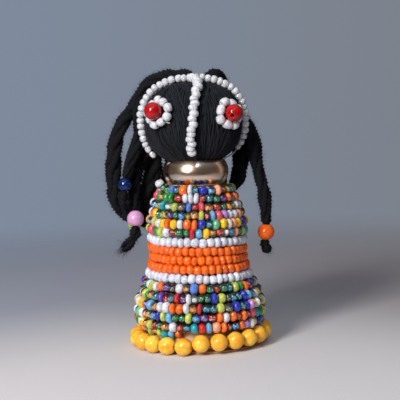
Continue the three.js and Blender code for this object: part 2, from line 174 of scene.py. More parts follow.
class Board:  # a node tree, with one way to add a node
    def __init__(self, tree):
        self.tree = tree

    def add(self, kind, inputs=None, output=None, **settings):
        node = self.tree.nodes.new(kind)
        for key, value in settings.items():
            if key == "stops":
                self.setStops(node.color_ramp, value)
            else:
                setattr(node, key, value)
        for key, value in (inputs or {}).items():
            for one in value if isinstance(value, list) else [value]:
                if isinstance(one, Wire):
                    self.tree.links.new(one.socket, pick(node.inputs, key))
                else:
                    pick(node.inputs, key).default_value = one
        if not node.outputs:
            return node
        named = next((s for s in node.outputs if s.enabled), node.outputs[0])
        return Wire(self, pick(node.outputs, output) if output else named)

    def setStops(self, ramp, stops):
        while len(ramp.elements) < len(stops):
            ramp.elements.new(1.0)
        for element, (place, colour) in zip(ramp.elements, stops):
            element.position = place
            element.color = colour

    def vector(self, operation, *values):
        return self.add("ShaderNodeVectorMath", dict(enumerate(values)), operation=operation)

    def scaled(self, vector, amount):
        return self.add("ShaderNodeVectorMath", {0: vector, "Scale": amount}, operation="SCALE")

    def attribute(self, name, kind="FLOAT"):  # in a geometry tree
        return self.add("GeometryNodeInputNamedAttribute", {"Name": name}, data_type=kind)

    def random(self, low, high, seed, which=None):  # in a geometry tree
        kind = "FLOAT_VECTOR" if isinstance(low, tuple) else "FLOAT"
        inputs = {"Min": low, "Max": high, "Seed": seed}
        if which is not None:
            inputs["ID"] = which
        return self.add("FunctionNodeRandomValue", inputs, data_type=kind)

    def parts(self, vector):  # its X, with Y and Z as the other outputs
        return self.add("ShaderNodeSeparateXYZ", {"Vector": vector})

    def mixed(self, factor, *colours):  # two colours, each from a node or by its code
        first, second = (colourOf(one) if isinstance(one, str) else one for one in colours)
        return self.add("ShaderNodeMix", {"Factor": factor, "A": first, "B": second}, data_type="RGBA")

    def spread(self, value, low, high, bottom=0.0, top=1.0):  # low to high becomes bottom to top
        return self.add("ShaderNodeMapRange", {
            "Value": value, "From Min": low, "From Max": high, "To Min": bottom, "To Max": top,
        })

    def eased(self, value, low, high):  # from 0 at low to 1 at high, with soft ends
        inputs = {"Value": value, "From Min": low, "From Max": high}
        return self.add("ShaderNodeMapRange", inputs, interpolation_type="SMOOTHSTEP")


def newTree(name, sockets):  # a geometry tree with named inputs of each kind
    tree = bpy.data.node_groups.new(name, "GeometryNodeTree")
    tree.interface.new_socket("Geometry", in_out="INPUT", socket_type="NodeSocketGeometry")
    for kind, labels in sockets.items():
        for label in labels:
            tree.interface.new_socket(label, in_out="INPUT", socket_type="NodeSocket" + kind)
    tree.interface.new_socket("Geometry", in_out="OUTPUT", socket_type="NodeSocketGeometry")
    board = Board(tree)
    return board, board.add("NodeGroupInput")


def endTree(board, geometry, material):
    whole = board.add("GeometryNodeRealizeInstances", {"Geometry": geometry})
    smooth = board.add("GeometryNodeSetShadeSmooth", {"Geometry": whole})
    return board.add("GeometryNodeSetMaterial", {"Geometry": smooth, "Material": material})


def meshGiven(board, given, name):  # the mesh of an object that a tree is given
    return board.add("GeometryNodeObjectInfo", {"Object": given[name]}, output="Geometry")


def turnedAlong(board, way, seed):  # turns Z to a direction, and spins round it at random
    turned = board.add("FunctionNodeAlignRotationToVector", {"Vector": way}, axis="Z")
    spin = board.add("FunctionNodeAxisAngleToRotation", {
        "Axis": (0, 0, 1), "Angle": board.random(0.0, 2 * math.pi, seed),
    })
    both = {"Rotation": turned, "Rotate By": spin}
    return board.add("FunctionNodeRotateRotation", both, rotation_space="LOCAL")


def runTree(board, mesh, values):  # the plain mesh that a tree makes from a mesh
    source = newObject("source", mesh)
    modifier = source.modifiers.new(board.tree.name, "NODES")
    modifier.node_group = board.tree
    for socket in board.tree.interface.items_tree:
        if socket.in_out == "INPUT" and socket.name in values:
            modifier[socket.identifier] = values[socket.name]
    graph = bpy.context.evaluated_depsgraph_get()
    made = bpy.data.meshes.new_from_object(
        source.evaluated_get(graph), preserve_all_data_layers=True, depsgraph=graph
    )
    source.modifiers.remove(modifier)
    bpy.data.objects.remove(source)
    return made


# Meshes

def meshOf(points, edges=(), faces=(), **attributes):  # points in millimetres
    mesh = bpy.data.meshes.new("made")
    mesh.from_pydata((np.asarray(points) * mm).tolist(), edges, faces)
    kinds = {1: ("FLOAT", "value"), 3: ("FLOAT_VECTOR", "vector"), 4: ("FLOAT_COLOR", "color")}
    for name, values in attributes.items():
        values = np.asarray(values, dtype=np.float32)
        kind, field = kinds[1 if values.ndim == 1 else values.shape[1]]
        mesh.attributes.new(name, kind, "POINT").data.foreach_set(field, values.ravel())
    for polygon in mesh.polygons:
        polygon.use_smooth = True
    return mesh


def lathed(profile, sides):  # a solid of revolution round Z, from [radius, height] points
    shape = bmesh.new()
    points = [shape.verts.new((r * mm, 0, z * mm)) for r, z in profile]
    edges = [shape.edges.new(pair) for pair in zip(points, points[1:])]
    bmesh.ops.spin(
        shape, geom=points + edges, cent=(0, 0, 0), axis=(0, 0, 1), angle=2 * math.pi, steps=sides
    )
    bmesh.ops.remove_doubles(shape, verts=shape.verts, dist=1e-7)
    bmesh.ops.recalc_face_normals(shape, faces=shape.faces)
    for face in shape.faces:
        face.smooth = True
    mesh = bpy.data.meshes.new("made")
    shape.to_mesh(mesh)
    shape.free()
    return mesh


def lofted(rings):  # a closed skin over rings of points, with both ends capped
    rings = np.asarray(rings)
    count, sides = rings.shape[:2]
    faces = [
        [i * sides + j, i * sides + (j + 1) % sides, (i + 1) * sides + (j + 1) % sides, (i + 1) * sides + j]
        for i in range(count - 1)
        for j in range(sides)
    ]
    faces += [list(range(sides))[::-1], [(count - 1) * sides + j for j in range(sides)]]
    return meshOf(rings.reshape(-1, 3), faces=faces)


def tubed(route, radii, sides):  # a tube along a route, with a radius at each of its points
    ways = unit(np.gradient(route, axis=0))
    across = unit(np.cross(ways, upwards + 0.01))
    aside = np.cross(ways, across)
    turns = np.linspace(0, 2 * np.pi, sides, endpoint=False)
    ring = np.cos(turns)[:, None] * across[:, None] + np.sin(turns)[:, None] * aside[:, None]
    radii = np.broadcast_to(radii, len(route))
    return lofted(route[:, None] + ring * radii[:, None, None])


def placed(mesh, place, axis=None):  # moves a mesh that is made round Z to its place
    turn = Vector(axis).to_track_quat("Z", "Y").to_matrix().to_4x4() if axis is not None else Matrix()
    mesh.transform(Matrix.Translation(Vector(place) * mm) @ turn)
    return mesh


def joined(meshes):
    shape = bmesh.new()
    for mesh in meshes:
        shape.from_mesh(mesh)
    shape.to_mesh(meshes[0])
    shape.free()
    return meshes[0]


def addPiece(name, mesh, slot, replaced, material=None):
    mesh.name = name
    if material:
        mesh.materials.clear()
        mesh.materials.append(material)
    piece = newObject(name, mesh)
    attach(piece, "root")
    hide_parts(*replaced)


# Finishes

def newMaterial(name):
    material = bpy.data.materials.new(name)
    material.use_nodes = True
    material.node_tree.nodes.clear()
    return material, Board(material.node_tree)


def finished(material, board, inputs):  # closes a material that has one surface
    board.add("ShaderNodeOutputMaterial", {"Surface": board.add("ShaderNodeBsdfPrincipled", inputs)})
    return material


def noise(board, scale, detail=3.0, stretch=(1, 1, 1)):  # from 0 to 1 over the piece, scale per metre
    place = board.add("ShaderNodeTexCoord", output="Object")
    place = board.add("ShaderNodeMapping", {"Vector": place, "Scale": stretch})
    return board.add("ShaderNodeTexNoise", {"Vector": place, "Scale": scale, "Detail": detail})


def bumped(board, height, strength, distance):
    inputs = {"Height": height, "Strength": strength, "Distance": distance * mm}
    return board.add("ShaderNodeBump", inputs)


def glassLook(board, colour, cloud, transmission, soft, ripple):
    return {
        "Base Color": colour,
        "Roughness": 0.03 + cloud * 0.06,
        "IOR": 1.52,
        "Coat Weight": 0.4,
        "Coat Roughness": 0.03,
        "Transmission Weight": transmission,
        "Subsurface Weight": soft,
        "Subsurface Radius": (1.0, 0.8, 0.7),
        "Subsurface Scale": 0.5 * mm,
        "Normal": bumped(board, noise(board, 1400), ripple, 0.12),
    }


def opaqueGlassFinish():  # the colour comes with each bead
    material, board = newMaterial("opaqueGlass")
    own = board.add("ShaderNodeAttribute", output="Color", attribute_name="beadColour")
    cloud = noise(board, 1300)
    patches = board.spread(cloud, 0.3, 0.7, 0.66, 1.2)
    return finished(material, board, glassLook(board, board.scaled(own, patches), cloud, 0.0, 0.1, 0.35))


def clearGlassFinish():  # clear beads with painted light: a bright middle for a lit lining seen through the glass, painted shade above and below, and painted glints
    material, board = newMaterial("clearGlass")
    own = board.add("ShaderNodeAttribute", output="Color", attribute_name="beadColour")
    normal = board.add("ShaderNodeNewGeometry", output="Normal")
    upward = abs(board.parts(normal)["Z"])
    cloud = noise(board, 1500)
    # painted shade: the bead darkens above and below its middle, by which way its surface faces
    rim = board.eased(upward + (cloud - 0.5) * 1.5, 0.12, 0.6)
    # painted glints: white specks scattered over the bead
    paintedGlints = board.eased(noise(board, 2100, 2), 0.54, 0.65)
    deep = board.scaled(own, 0.09)
    # painted light along the middle of the bead, with the painted white glints in it
    paintedLitMiddle = board.mixed(paintedGlints * 0.85, board.scaled(own, 1.15), "#F4F6F2")
    return finished(material, board, glassLook(board, board.mixed(rim, paintedLitMiddle, deep), cloud, 0.3, 0.0, 0.4))


def plasticFinish(name, colour, deep, roughness, soft=0.0):  # a round plastic bead
    material, board = newMaterial(name)
    swirl = noise(board, 260, 4, (1, 1, 1.6))
    cloud = board.spread(swirl, 0.35, 0.65)
    return finished(material, board, {
        "Base Color": board.mixed(cloud, deep, colour),
        "Roughness": roughness + swirl * 0.1,
        "Subsurface Weight": soft,
        "Subsurface Radius": (1.0, 0.5, 0.2),
        "Subsurface Scale": 1.5 * mm,
        "Normal": bumped(board, noise(board, 700), 0.12, 0.2),
    })


def bandFinish():  # pale gold plating, polished, with fine rubbing marks round the band
    material, board = newMaterial("polishedBand")
    rubbed = noise(board, 300, 5, (1, 1, 9))
    worn = noise(board, 120, 4)
    return finished(material, board, {
        "Base Color": board.mixed(worn, "#E8CBB0", "#FAE6D2"),
        "Metallic": 1.0,
        "Roughness": 0.16 + rubbed * 0.14,
        "Normal": bumped(board, rubbed, 0.08, 0.1),
    })


def woolFinish(name, dark, pale, sheen):
    material, board = newMaterial(name)
    fleck = noise(board, 1100, 4)
    strands = noise(board, 2600, 2, (1, 1, 0.4))
    return finished(material, board, {
        "Base Color": board.mixed(fleck, dark, pale),
        "Roughness": 0.8 + fleck * 0.2,
        "Specular IOR Level": 0.25,
        "Sheen Weight": sheen,
        "Sheen Roughness": 0.4,
        "Sheen Tint": colourOf("#8E93A6"),
        "Normal": bumped(board, strands, 0.6, 0.12),
    })


def boardFinish(name, dark, pale, scale, roughness=0.75, shaded=None):  # card, fibre board and cotton
    material, board = newMaterial(name)
    grain = noise(board, scale, 6, (1, 1, 2.5))
    stain = noise(board, 90, 3)
    fresh = board.mixed(grain, dark, pale)
    if shaded:  # painted shade between two heights, where the strands cover the card
        height = board.parts(board.add("ShaderNodeTexCoord", output="Object"))["Z"]
        paintedShadeMask = (height > shaded[0] * mm) - (height > shaded[1] * mm)
        # painted shade: the card turns this dark colour where the strands shade it
        fresh = board.mixed(paintedShadeMask, fresh, "#2A2220")
    return finished(material, board, {
        "Base Color": board.mixed(stain * 0.5, fresh, dark),
        "Roughness": roughness + grain * 0.2,
        "Normal": bumped(board, grain, 0.5, 0.2),
    })


opaqueGlass = opaqueGlassFinish()
clearGlass = clearGlassFinish()
cottonThread = boardFinish("cottonThread", "#B9B9B6", "#E8E8E4", 1800, 0.7)
lockWool = woolFinish("lockWool", "#050508", "#11141B", 0.07)
headThread = woolFinish("headThread", "#08090D", "#262932", 0.1)
plastics = {
    "yellow": plasticFinish("yellowPlastic", "#FFD150", "#F7A41C", 0.16, 0.5),
    "red": plasticFinish("redPlastic", "#C01016", "#980A10", 0.08),
    "blue": plasticFinish("bluePlastic", "#062464", "#041848", 0.06),
    "lilac": plasticFinish("lilacPlastic", "#DBA6D2", "#C98CC0", 0.12, 0.15),
    "lime": plasticFinish("limePlastic", "#A6CC4E", "#86B434", 0.14),
    "orange": plasticFinish("orangePlastic", "#EE6C1E", "#E0560E", 0.1, 0.1),
}
print("finishes done")


# Beads on a string

beadShapes = {
    "seed": {"sides": 12, "steps": 6, "bore": 0.28, "boxiness": 0.86},
    "pressed": {"sides": 12, "steps": 6, "bore": 0.3, "boxiness": 0.81},
    "round": {"sides": 32, "steps": 16, "bore": 0.2, "boxiness": 1.0},
}
beadLaying = {
    "reach": 0.4,  # how far to each side along the thread a bead takes its direction from
    "radiusShare": 0.35,  # how much the radii vary, as a share of how much the lengths do
}
threadSides = 6


def beadProfile(radius, bore, halfLength, boxiness, steps):  # from one end of the bore to the other
    share = 1 / boxiness
    last = math.acos((bore / radius) ** share)
    angles = np.linspace(-last, last, steps + 1)
    out = radius * np.cos(angles) ** boxiness
    up = halfLength * np.sign(angles) * (np.abs(np.sin(angles)) / math.sin(last)) ** boxiness
    return [*zip(out, up), (bore, -halfLength)]


def beadShape(name):  # a bead with a radius of 1 metre, which a tree reads and which is removed at the end
    shape = beadShapes[name]
    profile = beadProfile(1, shape["bore"], 1, shape["boxiness"], shape["steps"])
    mesh = lathed(profile, shape["sides"])
    mesh.transform(Matrix.Scale(1 / mm, 4))
    return newObject("helper", mesh)


def stringTree():  # puts a bead on each point, turned along the thread
    board, given = newTree("beadString", {
        "Object": ["Bead", "Thread"], "Float": ["Tilt"], "Int": ["Seed"], "Material": ["Opaque", "Clear"],
    })
    seed = given["Seed"]
    sway = board.scaled(board.random((-1, -1, -1), (1, 1, 1), seed), given["Tilt"])
    way = board.vector("ADD", board.attribute("threadWay", "FLOAT_VECTOR"), sway)
    beads = board.add("GeometryNodeInstanceOnPoints", {
        "Points": given,
        "Instance": meshGiven(board, given, "Bead"),
        "Rotation": turnedAlong(board, way, seed + 1),
        "Scale": board.attribute("beadSize", "FLOAT_VECTOR"),
    })
    opaque = endTree(board, beads, given["Opaque"])
    coloured = board.add("GeometryNodeSetMaterial", {
        "Geometry": opaque, "Selection": board.attribute("clearness") > 0.5, "Material": given["Clear"],
    })
    parts = [coloured, meshGiven(board, given, "Thread")]
    whole = board.add("GeometryNodeJoinGeometry", {"Geometry": parts})
    board.add("NodeGroupOutput", {"Geometry": whole})
    return board


beadString = stringTree()
seedShape = beadShape("seed")
pressedShape = beadShape("pressed")
roundShape = beadShape("round")


def layBeads(route, count, radius, variety, dice):  # middles, directions and sizes of beads side by side
    whole = reachAlong(route)[-1]
    lengths = 1 + variety * dice.uniform(-1, 1, count)
    lengths *= whole / lengths.sum()
    middles = np.cumsum(lengths) - lengths / 2
    reach = beadLaying["reach"]
    ways = unit(pointsAt(route, middles + reach) - pointsAt(route, middles - reach))
    radii = radius * (1 + beadLaying["radiusShare"] * variety * dice.uniform(-1, 1, count))
    return pointsAt(route, middles), ways, radii, lengths


def stringBeads(shape, laid, colours, clearness, thread, tilt, seed, opaque=opaqueGlass):
    places, ways, radii, lengths = laid
    sizes = np.stack([radii, radii, lengths / 2], axis=-1) * mm
    points = meshOf(places, threadWay=ways, beadSize=sizes, beadColour=colours, clearness=clearness)
    thread.materials.append(cottonThread)
    helper = newObject("helper", thread)
    mesh = runTree(beadString, points, {
        "Bead": shape, "Thread": helper, "Tilt": tilt, "Seed": seed, "Opaque": opaque, "Clear": clearGlass,
    })
    bpy.data.objects.remove(helper)
    return mesh


def shadedColours(code, count, spread, dice):  # one colour, a little lighter and darker from bead to bead
    base = np.array(colourOf(code))
    colours = np.tile(base, (count, 1))
    colours[:, :3] *= 1 + spread * dice.uniform(-1, 1, (count, 1))
    return np.clip(colours, 0, 1)


# Body: strands, core and foot

body = {  # the strand goes once round the body for each turn, and a whole number is at the front
    "turns": [0.5, 6, 7, 11, 12, 15, 16, 17],
    "turnHeights": [55.9, 40.4, 37, 24.8, 21.7, 12.5, 9.1, 6.7],
    "heights": [6, 7.2, 9, 15.6, 24.8, 31, 43.3, 56],
    "radii": [19.3, 19.4, 21.2, 21.2, 17.1, 15.7, 15.8, 11.6],
    "meanRadius": 16,
    "halfGap": 0.15,  # half of what is left free between two strands
    "routePoints": 480,
    "seedRadius": 1.62,
    "threadRadius": 0.3,
    "tilt": 0.14,
    "outScatter": 0.18,
    "upScatter": 0.2,
}
plainGlass = {"variety": 0.16, "stretch": 1.12, "shade": 0.1}  # the beads of one colour
mixedGlass = {"variety": 0.28, "stretch": 1.04, "shades": (0.88, 1.06),
              "clearSize": 0.98, "opaqueSize": 1.06}  # the opaque glass is a little larger
opaqueColours = {  # a colour and how often it comes
    "#DDE1EA": 16, "#E2DCC4": 3, "#BFCB5A": 9, "#F6C318": 8, "#F4701E": 9, "#EFA27C": 2,
    "#CE1F28": 6, "#E2566A": 3, "#2C8A43": 7, "#69BF8E": 4, "#6CB2E2": 6, "#5585DC": 6,
    "#2735B2": 5, "#643AAE": 2, "#B988DA": 3, "#149FAE": 5, "#0C0C10": 2,
}
clearColours = {
    "#E8962A": 13, "#1F8FA8": 12, "#1E8A52": 10, "#E4ECEC": 10, "#D0342A": 12, "#6E6458": 3,
    "#3C9CE4": 7, "#7F46B0": 4, "#B4B02C": 7,
}
strands = [
    {"name": "upper_mixed", "from": 0.79, "to": 6.5, "pitch": 2.3, "seed": 11,
     "radius": 1.76, "first": {"place": (-12.4, -1.6, 56.5), "way": (-0.3, 0.2, 0.93), "radius": 1.65,
                               "length": 2.6, "colour": "#DDE1EA"}},
    {"name": "upper_white", "from": 6.5, "to": 7.5, "pitch": 2.32, "seed": 12,
     "radius": 1.72, "colour": "#DADFEE"},
    {"name": "orange", "from": 7.5, "to": 10.5, "pitch": 2.32, "seed": 13,
     "radius": 1.72, "colour": "#FA6A08"},
    {"name": "lower_white", "from": 10.5, "to": 11.5, "pitch": 2.32, "seed": 14,
     "radius": 1.72, "colour": "#DADFEE"},
    {"name": "lower_mixed", "from": 11.5, "to": 16.95, "pitch": 2.3, "seed": 15,
     "radius": 1.74},
]


def onStrand(turn):
    height = np.interp(turn, body["turns"], body["turnHeights"])
    radius = np.interp(height, body["heights"], body["radii"])
    angle = 2 * np.pi * turn
    return np.stack([radius * np.sin(angle), -radius * np.cos(angle), height], axis=-1)


def drawColours(count, dice):  # a random mix of opaque and clear glass
    codes = [*opaqueColours, *clearColours]
    weights = np.array([*opaqueColours.values(), *clearColours.values()], dtype=float)
    drawn = dice.choice(len(codes), count, p=weights / weights.sum())
    colours = np.array([colourOf(codes[i]) for i in drawn])
    colours[:, :3] *= dice.uniform(*mixedGlass["shades"], (count, 1))
    return np.clip(colours, 0, 1), (drawn >= len(opaqueColours)).astype(float)


def makeStrand(strand):
    dice = np.random.default_rng(strand["seed"])
    edge = body["halfGap"] / (2 * np.pi * body["meanRadius"])
    turns = np.linspace(strand["from"] + edge, strand["to"] - edge, body["routePoints"])
    route = onStrand(turns)
    count = round(reachAlong(route)[-1] / strand["pitch"])
    plain = "colour" in strand
    glass = plainGlass if plain else mixedGlass
    places, ways, radii, lengths = layBeads(route, count, strand["radius"], glass["variety"], dice)
    if plain:
        colours = shadedColours(strand["colour"], count, glass["shade"], dice)
        clearness = np.zeros(count)
    else:
        colours, clearness = drawColours(count, dice)
        radii *= np.where(clearness > 0.5, glass["clearSize"], glass["opaqueSize"])
    outwards = unit(places * [1, 1, 0])
    push = radii - body["seedRadius"] + dice.uniform(-body["outScatter"], body["outScatter"], count)
    lift = dice.uniform(-body["upScatter"], body["upScatter"], (count, 1))
    places = places + outwards * push[:, None] + upwards * lift
    if "first" in strand:  # the white bead that the strand starts with stands out a little
        first = strand["first"]
        places[0], radii[0], lengths[0] = first["place"], first["radius"], first["length"]
        colours[0], clearness[0] = colourOf(first["colour"]), 0
        ways[0] = unit(np.array(first["way"]))
    laid = (places, ways, radii, lengths * glass["stretch"])
    thread = tubed(route[::3], body["threadRadius"], threadSides)
    shape = pressedShape if plain else seedShape
    mesh = stringBeads(shape, laid, colours, clearness, thread, body["tilt"], strand["seed"])
    name = strand["name"]
    addPiece(name + "_beads", mesh, name.split("_")[-1] + "_beads", [name + "_strand"])


for strand in strands:
    makeStrand(strand)
print("strands done")

core = {"behindStrand": 1.75, "foot": 1.1, "skirtRadius": 18.5, "skirtHeight": 4.4,
        "top": 55.4, "topRadius": 9.8, "sides": 72, "soiled": (8.4, 55)}
# the card gets painted shade between the two heights given in core, behind the strands
coreCard = boardFinish("coreCard", "#CFA68A", "#EBCDB4", 700, shaded=core["soiled"])


def makeCore():
    wall = [(r - core["behindStrand"], h) for h, r in zip(body["heights"], body["radii"])]
    wall = [point for point in wall if point[1] < core["top"]]
    radius, foot = core["skirtRadius"], core["foot"]
    low = [(0, foot), (radius, foot), (radius, core["skirtHeight"])]
    profile = [*low, *wall, (core["topRadius"], core["top"]), (0, core["top"])]
    addPiece("core", lathed(profile, core["sides"]), "core_card", ["body_core"], coreCard)


footDisc = {"radius": 19.8, "thickness": 0.8, "rounding": 0.2, "x": 1.6, "y": -0.5, "sides": 96}
fibreBoard = boardFinish("fibreBoard", "#AE7C52", "#D6AA80", 900)


def makeFootDisc():
    r, h, e = footDisc["radius"], footDisc["thickness"], footDisc["rounding"]
    profile = [(0, 0), (r - e, 0), (r, e), (r, h - e), (r - e, h), (0, h)]
    disc = placed(lathed(profile, footDisc["sides"]), (footDisc["x"], footDisc["y"], 0))
    addPiece("foot_board", disc, "foot_board", ["foot_disc"], fibreBoard)


footBeads = {"count": 23, "radius": 3.0, "ringRadius": 22.1, "onGround": 3.0, "onDisc": 4.1,
             "rise": (-14, 2), "fall": (160, 180), "variety": 0.03, "colour": "#FFC53A", "shade": 0.05,
             "lengthShare": 1.96, "threadRadius": 0.35, "tilt": 0.1, "seed": 21}


def makeFootBeads():
    dice = np.random.default_rng(footBeads["seed"])
    angles = np.linspace(-180, 180, 361)
    onDisc = easeBetween(angles, *footBeads["rise"]) - easeBetween(angles, *footBeads["fall"])
    heights = footBeads["onGround"] + (footBeads["onDisc"] - footBeads["onGround"]) * onDisc
    route = direction(angles, 0) * footBeads["ringRadius"] + upwards * heights[:, None]
    count = footBeads["count"]
    places, ways, radii, _ = layBeads(route, count, footBeads["radius"], footBeads["variety"], dice)
    colours = shadedColours(footBeads["colour"], count, footBeads["shade"], dice)
    laid = (places, ways, radii, radii * footBeads["lengthShare"])
    thread = tubed(route, footBeads["threadRadius"], threadSides)
    mesh = stringBeads(roundShape, laid, colours, np.zeros(count), thread, footBeads["tilt"],
                       footBeads["seed"], plastics["yellow"])
    addPiece("foot_ring_of_beads", mesh, "yellow_round_beads", ["foot_beads"])


makeCore()
makeFootDisc()
makeFootBeads()
print("foot done")


# Neck band

neckBand = {"outer": 11.4, "edge": 9.7, "inner": 8.9, "bottom": 55.9, "top": 64.7, "x": 0.3,
            "rounding": 0.3, "steps": 28, "sides": 128}


def makeNeckBand():
    bottom, top, inner, soft = (neckBand[key] for key in ("bottom", "top", "inner", "rounding"))
    middle, half = (bottom + top) / 2, (top - bottom) / 2
    up = np.linspace(-1, 1, neckBand["steps"])
    out = neckBand["outer"] - (neckBand["outer"] - neckBand["edge"]) * up ** 2
    outside = [*zip(out, middle + half * up)]
    inside = [(inner + soft, top), (inner, top - soft), (inner, bottom + soft), (inner + soft, bottom)]
    ring = placed(lathed([*outside, *inside, outside[0]], neckBand["sides"]), (neckBand["x"], 0, 0))
    addPiece("neck_band", ring, "neck_band", ["neck_ring"], bandFinish())


makeNeckBand()
print("neck done")


# Head

head = {"middle": 77.5, "halfWidth": 16.6, "halfDepth": 15.4, "halfHeight": 13.6,
        "halfHeightBelow": 14.4, "exponent": 2.4, "neckRadius": 8.5, "intoBand": 0.2, "underThread": 0.35,
        "sides": 64, "rings": 28, "elevations": (-50, 88)}
winding = {
    "loops": 210,
    "thread": 0.2,
    "sides": 5,
    "steps": 40,
    "uneven": 0.9,  # how far a loop may stray from its place, as a share of the way to the next
    "slip": 0.9,
    "slips": (-0.6, 1.0),
    "fan": 0.8,
    "neckAngle": 146,
    "layer": 0.22,
    "layers": (-0.5, 1.0),
    "seed": 31,
}


def onHead(towards, lift=0.0):  # the head's surface in a direction from its middle
    d = unit(np.asarray(towards, dtype=float))
    halfHeight = np.where(d[..., 2] < 0, head["halfHeightBelow"], head["halfHeight"])
    flat = 0 * halfHeight
    halves = np.stack([head["halfWidth"] + flat, head["halfDepth"] + flat, halfHeight], -1)
    total = (np.abs(d / halves) ** head["exponent"]).sum(-1)
    far = total ** (-1 / head["exponent"]) + lift
    return d * np.expand_dims(far, -1) + upwards * head["middle"]


def headBall():  # the ball below the thread, with the neck that stands in the band
    azimuths = np.linspace(0, 360, head["sides"], endpoint=False)
    low = neckBand["bottom"] - head["intoBand"]
    neck = direction(azimuths, 0) * head["neckRadius"] + [neckBand["x"], 0, 0]
    rings = [neck + upwards * low, neck + upwards * neckBand["top"]]
    elevations = np.linspace(*head["elevations"], head["rings"])
    rings += [onHead(direction(azimuths, e), -head["underThread"]) for e in elevations]
    return lofted(rings)


def windingTree():  # loops of thread over the ball, from the neck to the neck
    board, given = newTree("headWinding", {
        "Int": ["Loops", "Steps", "Seed"],
        "Float": ["Thread", "Slip", "Fan", "Neck angle", "Layer", "Half width", "Half depth", "Half height",
                  "Half height below", "Exponent", "Middle"],
        "Material": ["Material"],
    })
    line = board.add("GeometryNodeCurvePrimitiveLine")
    line = board.add("GeometryNodeResampleCurve", {"Curve": line, "Count": given["Steps"]})
    loops = board.add("GeometryNodeDuplicateElements", {"Geometry": line, "Amount": given["Loops"]},
                      domain="SPLINE")
    which = loops["Duplicate Index"]
    seed = given["Seed"]
    share = board.add("GeometryNodeSplineParameter", output="Factor")
    fall = (share * 2 - 1) * given["Neck angle"]  # from the top of the ball
    stray = board.random(-winding["uneven"], winding["uneven"], seed, which)
    azimuth = (which + stray) * (math.pi / given["Loops"])
    sine, cosine = fall.maths("SINE", fall), fall.maths("COSINE", fall)
    sineAround, cosineAround = azimuth.maths("SINE", azimuth), azimuth.maths("COSINE", azimuth)
    slip = board.random(*winding["slips"], seed + 1, which) * given["Slip"]
    slip = slip + cosineAround * given["Fan"]
    aside = slip * (cosine + 1) * 0.5
    x = sine * cosineAround - aside * sineAround
    y = sine * sineAround + aside * cosineAround
    above = cosine > 0
    tall = given["Half height"] * above + given["Half height below"] * (1 - above)
    power = given["Exponent"]
    total = (
        abs(x / given["Half width"]) ** power
        + abs(y / given["Half depth"]) ** power
        + abs(cosine / tall) ** power
    )
    layer = board.random(*winding["layers"], seed + 2, which) * given["Layer"]
    towards = board.add("ShaderNodeCombineXYZ", {"X": x, "Y": y, "Z": cosine})
    surface = board.scaled(towards, total ** (-1 / power))
    outwards = board.vector("NORMALIZE", towards)
    place = board.vector("ADD", surface, board.scaled(outwards, layer))
    place = board.vector("ADD", place, board.add("ShaderNodeCombineXYZ", {"Z": given["Middle"]}))
    loops = board.add("GeometryNodeSetPosition", {"Geometry": loops, "Position": place})
    ring = board.add("GeometryNodeCurvePrimitiveCircle", {"Resolution": winding["sides"], "Radius": 1.0})
    threads = board.add("GeometryNodeCurveToMesh", {
        "Curve": loops, "Profile Curve": ring, "Scale": given["Thread"], "Fill Caps": True,
    })
    whole = board.add("GeometryNodeJoinGeometry", {"Geometry": [given, threads]})
    board.add("NodeGroupOutput", {"Geometry": endTree(board, whole, given["Material"])})
    return board


def makeHead():
    mesh = runTree(windingTree(), headBall(), {
        "Loops": winding["loops"], "Thread": winding["thread"] * mm, "Slip": winding["slip"],
        "Fan": winding["fan"], "Neck angle": math.radians(winding["neckAngle"]),
        "Layer": winding["layer"] * mm,
        "Half width": head["halfWidth"] * mm, "Half depth": head["halfDepth"] * mm,
        "Half height": head["halfHeight"] * mm, "Half height below": head["halfHeightBelow"] * mm,
        "Exponent": head["exponent"], "Middle": head["middle"] * mm, "Steps": winding["steps"],
        "Seed": winding["seed"], "Material": headThread,
    })
    addPiece("wound_head", mesh, "black_wool", ["head"])


makeHead()
print("head done")


# Face

hairline = {"from": -130.5, "to": 124, "topY": -1.5, "endY": (2, 4.6), "lift": 1.65, "steps": 160,
            "count": 37, "radius": 1.46, "ends": (0.68, 0.8), "seed": 41,
            "tail": [(13.9, 1.0, 66.4), (12.0, -1.5, 65.2), (9.8, -4.0, 64.6)]}
nose = {"angles": [-38, -12, 0, 28, 45, 60, 70, 76],
        "leans": [-0.05, -0.05, -0.005, 0.05, 0.12, 0.12, 0.04, 0.01],
        "lift": 1.75, "steps": 120, "count": 20, "radius": 1.62, "zigzag": 0.22, "stretch": 1.3, "seed": 42}
eyes = [
    {"name": "left", "azimuth": -41.5, "elevation": 12, "bore": (-125, 25), "petals": 9, "seed": 43,
     "end": [(-9.4, -14.2, 78.2), (-8.4, -15.1, 77.7), (-7.7, -15.5, 77.6)]},
    {"name": "right", "azimuth": 43, "elevation": 7.5, "bore": (-14, -17), "petals": 8, "seed": 44},
]
flower = {"radius": 1.54, "ringRadius": 3.72, "lift": 1.65, "zigzag": 0.3, "steps": 121}
eyeBead = {"radius": 2.98, "bore": 0.6, "lift": 3.5}
ball = {"steps": 22, "sides": 44}  # how finely the single round beads are turned
faceBeads = {  # what the strings on the face share
    "colour": "#DCDFE8",
    "variety": 0.12,
    "scatter": 0.13,
    "taper": (4, 3),  # how many beads get slimmer towards the two ends
    "shade": 0.05,
    "stretch": 1.1,
    "threadRadius": 0.25,
    "tilt": 0.12,
}


